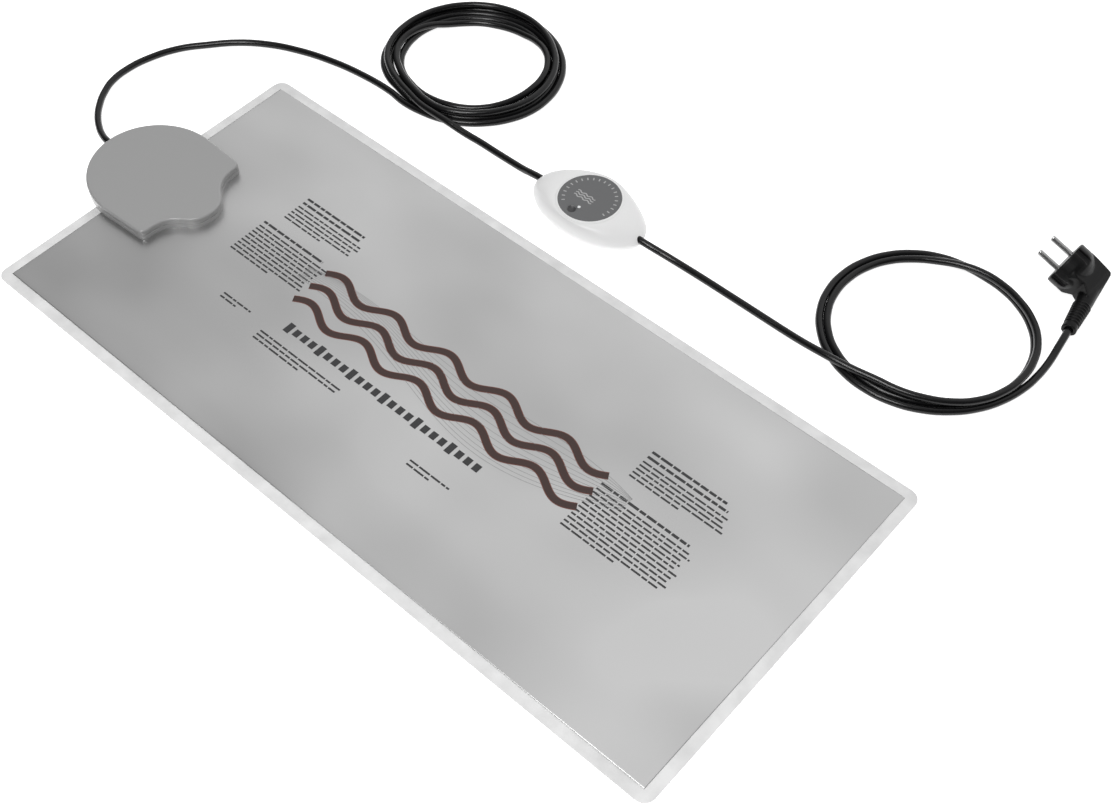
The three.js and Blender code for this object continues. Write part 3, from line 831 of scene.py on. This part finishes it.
def make_control_shell():
    """The egg-shaped body, from its rounded foot over its dome into the dial's recess."""
    half_length = CONTROL_LENGTH / 2
    half_width = CONTROL_WIDTH / 2
    rim = DIAL_RADIUS + DIAL_GAP + DIAL_RIM_WIDTH
    rings = []
    for step in range(CONTROL_FOOT_STEPS):
        angle = (1 - step / CONTROL_FOOT_STEPS) * math.pi / 2
        inset = CONTROL_FOOT_INSET * (1 - math.cos(angle))
        height = CONTROL_BELLY * (1 - math.sin(angle))
        rings.append(control_ring(half_length - inset, half_width - inset, height))
    for step in range(CONTROL_DOME_STEPS + 1):
        spread = math.cos(step / CONTROL_DOME_STEPS * math.pi / 2)
        rise = (CONTROL_HEIGHT - CONTROL_BELLY) * (1 - spread**2) ** CONTROL_FULLNESS
        length = rim + (half_length - rim) * spread
        width = rim + (half_width - rim) * spread
        rings.append(control_ring(length, width, CONTROL_BELLY + rise, DIAL_OFFSET * (1 - spread)))
    recess = DIAL_RADIUS + DIAL_GAP / 2
    floor = CONTROL_HEIGHT - DIAL_RECESS
    for radius, height in (
        (recess + RECESS_EDGE, CONTROL_HEIGHT),
        (recess, CONTROL_HEIGHT - RECESS_EDGE),
        (recess, floor),
    ):
        rings.append(control_ring(radius, radius, height, DIAL_OFFSET))
    vertices = [CONTROL_CENTRE + point for ring in rings for point in ring]
    faces = closed_faces(len(rings), CONTROL_SIDES)
    shell = finish_piece(mesh_object("control_shell", vertices, faces), WHITE_PLASTIC)
    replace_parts(shell, "control_body")


def dial_top(x, y, height):
    """Height of the dial's face, with its finger dimple."""
    reach = (Vector((x, y)) - FINGER_DIMPLE).length / FINGER_DIMPLE_RADIUS
    return height - FINGER_DIMPLE_DEPTH * max(1 - reach**2, 0)


def make_dial():
    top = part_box("control_dial")[1][2]
    centre = Vector((CONTROL_CENTRE.x + DIAL_OFFSET, CONTROL_CENTRE.y))
    make_knob(centre, top)
    make_dial_marks(centre, top + MARK_LIFT)
    make_trim(centre, top)
    dress_node("indicator_lens", LENS)


def make_knob(centre, top):
    """The dial's body, its face turned in fine rings so that the finger dimple is round."""
    bottom = CONTROL_HEIGHT - DIAL_RECESS + DIAL_CLEARANCE
    profile = [(DIAL_RADIUS - DIAL_EDGE_RADIUS, bottom), (DIAL_RADIUS, bottom + DIAL_EDGE_RADIUS)]
    for step in range(DIAL_EDGE_STEPS + 1):
        angle = step / DIAL_EDGE_STEPS * math.pi / 2
        radius = DIAL_RADIUS - DIAL_EDGE_RADIUS * (1 - math.cos(angle))
        profile.append((radius, top - DIAL_EDGE_RADIUS * (1 - math.sin(angle))))
    for step in range(1, DIAL_RINGS):
        profile.append(((DIAL_RADIUS - DIAL_EDGE_RADIUS) * (1 - step / DIAL_RINGS), top))
    vertices, faces = lathe(profile, DIAL_SIDES)
    for vertex in vertices:
        if vertex.z > top - SAME_HEIGHT:
            vertex.z = dial_top(vertex.x, vertex.y, top)
        vertex.x += centre.x
        vertex.y += centre.y
    dial = finish_piece(mesh_object("dial_knob", vertices, faces), DIAL_PLASTIC, "dial")
    # The middle of the finger dimple gets the darker colour: painted shade in the hollow
    dial.data.materials.append(DIMPLE_PAINTED_SHADE)
    for polygon in dial.data.polygons:
        reach = (polygon.center.xy - centre - FINGER_DIMPLE).length
        if reach < FINGER_DIMPLE_RADIUS * DIMPLE_PAINTED_SHADE_SHARE:
            polygon.material_index = 1
    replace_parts(dial, "control_dial")


def make_dial_marks(centre, height):
    """Scale marks round the dial and a small mark of three waves."""
    def surface(x, y):
        return height

    marks = ([], [])
    for tick in range(TICK_COUNT):
        angle = math.radians(FIRST_TICK - tick * TICK_SWEEP / (TICK_COUNT - 1))
        direction = Vector((math.cos(angle), math.sin(angle)))
        ends = [centre + direction * TICK_INNER_RADIUS, centre + direction * TICK_OUTER_RADIUS]
        strip(*marks, ends, MARK_WIDTH, surface)
    for row in range(MARK_ROWS):
        path = []
        for step in range(MARK_STEPS + 1):
            share = step / MARK_STEPS
            x = centre.x + MARK_PLACE.x + MARK_LENGTH * share
            y = centre.y + MARK_PLACE.y - row * MARK_PITCH
            path.append((x, y + MARK_SWING * math.sin(share * MARK_HALF_WAVES * math.pi)))
        strip(*marks, path, MARK_WIDTH, surface)
    finish_piece(mesh_object("dial_marks", *marks, smooth=False), LIGHT_PRINT, "dial")


def make_trim(centre, top):
    """White ring that slopes from the dial's face down to the control's rim."""
    low = CONTROL_HEIGHT + TRIM_LIFT
    profile = [(TRIM_INNER_RADIUS, low), (TRIM_OUTER_RADIUS, low)]
    for step in range(TRIM_STEPS + 1):
        share = step / TRIM_STEPS
        radius = TRIM_OUTER_RADIUS + (TRIM_INNER_RADIUS - TRIM_OUTER_RADIUS) * share
        profile.append((radius, low + (top + TRIM_LIFT - low) * math.sin(share * math.pi / 2)))
    vertices, faces = lathe(profile, DIAL_SIDES)
    vertices = [vertex + Vector((*centre, 0)) for vertex in vertices]
    open_ring = mesh_object("dial_trim", vertices, faces[:-2])
    finish_piece(open_ring, WHITE_PLASTIC, "dial")


# Plug
def smooth_by_angle(node, angle):
    """Shades a node smooth except at edges sharper than the angle."""
    tree = bpy.data.node_groups.new(node.name + "_smooth", "GeometryNodeTree")
    tree.interface.new_socket("Geometry", in_out="INPUT", socket_type="NodeSocketGeometry")
    tree.interface.new_socket("Geometry", in_out="OUTPUT", socket_type="NodeSocketGeometry")
    start = tree.nodes.new("NodeGroupInput")
    end = tree.nodes.new("NodeGroupOutput")
    whole = tree.nodes.new("GeometryNodeSetShadeSmooth")
    whole.domain = "FACE"
    sharp = tree.nodes.new("GeometryNodeSetShadeSmooth")
    sharp.domain = "EDGE"
    sharp.inputs["Shade Smooth"].default_value = False
    edge_angle = tree.nodes.new("GeometryNodeInputMeshEdgeAngle")
    limit = tree.nodes.new("FunctionNodeCompare")
    limit.operation = "GREATER_THAN"
    limit.inputs["B"].default_value = math.radians(angle)
    tree.links.new(start.outputs[0], whole.inputs["Geometry"])
    tree.links.new(whole.outputs["Geometry"], sharp.inputs["Geometry"])
    tree.links.new(edge_angle.outputs["Unsigned Angle"], limit.inputs["A"])
    tree.links.new(limit.outputs["Result"], sharp.inputs["Selection"])
    tree.links.new(sharp.outputs["Geometry"], end.inputs[0])
    modifier = node.modifiers.new("smooth", "NODES")
    modifier.node_group = tree


def make_plug():
    """Dresses the plug: its body evened and softened, its pins smooth between their edges."""
    body = dress_node("plug_body", PLUG_BLACK)
    remesh = body.modifiers.new("even", "REMESH")
    remesh.mode = "VOXEL"
    remesh.voxel_size = PLUG_GRID
    remesh.use_smooth_shade = True
    soften = body.modifiers.new("soften", "SMOOTH")
    soften.factor = PLUG_SOFTENING
    soften.iterations = PLUG_SOFTENING_ROUNDS
    for name in ("plug_pin_lower", "plug_pin_upper"):
        smooth_by_angle(dress_node(name, NICKEL), PIN_EDGE_ANGLE)
    make_relief_ribs()


def make_relief_ribs():
    """Ribs round the strain relief, each a shallow ring."""
    plug_axes = Matrix.Translation(PLUG_PLACE) @ Matrix.Rotation(PLUG_TILT, 4, "Y")
    relief_axes = plug_axes @ Matrix.Translation((RELIEF_DEPTH, 0, 0))
    relief_axes = relief_axes @ Matrix.Rotation(RELIEF_LEAN, 4, "Z")
    relief_axes = relief_axes @ Matrix.Rotation(math.pi / 2, 4, "X")
    vertices = []
    faces = []
    taper_length = RELIEF_LENGTH - RELIEF_TIP_COLLAR - RELIEF_ROOT_PLACE
    for rib in range(RIB_COUNT):
        place = FIRST_RIB + rib * RIB_PITCH
        share = (place - RELIEF_ROOT_PLACE) / taper_length
        radius = RELIEF_ROOT_RADIUS + (RELIEF_TIP_RADIUS - RELIEF_ROOT_RADIUS) * share
        start = len(vertices)
        profile = [(radius + rise, place + along) for rise, along in RIB_PROFILE]
        ring_vertices, ring_faces = lathe(profile, RIB_SIDES)
        vertices += [relief_axes @ vertex for vertex in ring_vertices]
        faces += [tuple(start + index for index in face) for face in ring_faces]
    finish_piece(mesh_object("relief_ribs", vertices, faces), PLUG_BLACK)


# Studio, brighter towards the back and overhead
BRIGHT_SIDE = (-0.05, 0.9, 0.45)
WORLD_LEVELS = [(0.05, 0.08), (0.52, 0.4), (0.73, 0.93)]
FLOOR_REACH = 400
FLOOR_DROP = 0.0002
FLOOR_GLOW = 0.84
LIGHT_TARGET = Vector((0, 0.1, 0))

# Softboxes: name, place, width and power
SOFTBOXES = [
    ("front_softbox", (0.12, -1.05, 1.1), 0.2, 4),
    ("top_softbox", (0.1, -0.9, 2.1), 0.8, 24),
]


def make_stage():
    signs = [(-1, -1), (1, -1), (1, 1), (-1, 1)]
    corners = [(across * FLOOR_REACH, along * FLOOR_REACH, 0) for across, along in signs]
    floor = mesh_object("studio_floor", corners, [(0, 1, 2, 3)])
    floor.location.z = -FLOOR_DROP
    material = new_material("pale_floor", (0.9, 0.9, 0.9), 0.9)
    shader = material.node_tree.nodes["Principled BSDF"]
    shader.inputs["Emission Color"].default_value = (1, 1, 1, 1)
    shader.inputs["Emission Strength"].default_value = FLOOR_GLOW
    floor.data.materials.append(material)

    world = bpy.data.worlds.new("studio")
    bpy.context.scene.world = world
    world.use_nodes = True
    tree = world.node_tree
    place = tree.nodes.new("ShaderNodeTexCoord")
    lean = tree.nodes.new("ShaderNodeVectorMath")
    lean.operation = "DOT_PRODUCT"
    lean.inputs[1].default_value = BRIGHT_SIDE
    ramp = tree.nodes.new("ShaderNodeValToRGB")
    ramp.color_ramp.elements.new(0.5)
    for element, (height, level) in zip(ramp.color_ramp.elements, WORLD_LEVELS):
        element.position = height
        element.color = (level, level, level, 1)
    tree.links.new(place.outputs["Generated"], lean.inputs[0])
    tree.links.new(lean.outputs["Value"], ramp.inputs["Fac"])
    tree.links.new(ramp.outputs["Color"], tree.nodes["Background"].inputs["Color"])
    for name, spot, size, power in SOFTBOXES:
        light = bpy.data.objects.new(name, bpy.data.lights.new(name, "AREA"))
        light.data.size = size
        light.data.energy = power
        light.location = spot
        aim = LIGHT_TARGET - Vector(spot)
        light.rotation_euler = aim.to_track_quat("-Z", "Y").to_euler()
        bpy.context.collection.objects.link(light)
    bpy.context.scene.view_settings.view_transform = "Standard"


set_camera()
heater_cord, mains_cord = make_cords()
make_pad()
make_housing()
make_control_shell()
make_dial()
make_plug()
make_stage()
